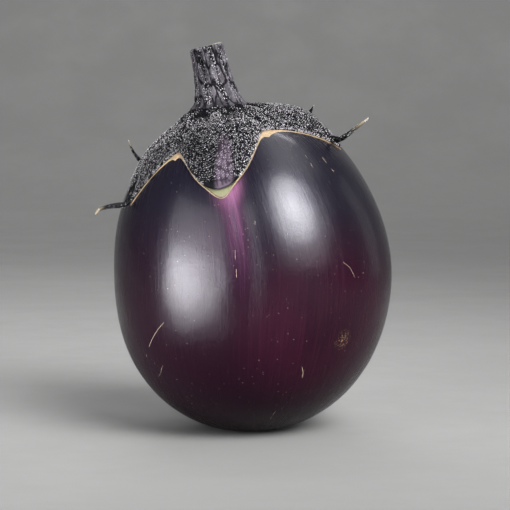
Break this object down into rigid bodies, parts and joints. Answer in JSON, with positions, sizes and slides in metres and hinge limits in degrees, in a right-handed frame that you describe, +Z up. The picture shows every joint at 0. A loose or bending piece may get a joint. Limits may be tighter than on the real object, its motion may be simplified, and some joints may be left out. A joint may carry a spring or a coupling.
{
  "type": "globe eggplant",
  "caption": "Globe eggplant as picked, standing on its round end, with its lobed calyx, thin sepal tails, prickles and a short cut stem.",
  "frame": {"origin": "centre of the small flat spot on the round end that the fruit rests on", "axes": "+Z up from the resting spot towards the calyx and stem; the calyx and stem lean towards -X; -Y is the side under the broad blunt sepal"},
  "size_m": [0.1163, 0.1109, 0.1542],
  "materials": {
    "skin": "glossy waxy purple-black skin",
    "calyx": "matt purple-black flesh covered with fine pale hairs",
    "stem": "matt, ridged, dark, with fine pale hairs"
  },
  "bodies": {
    "root": {"fruit": "skin", "calyx": "calyx", "stem": "stem"}
  },
  "joints": []
}
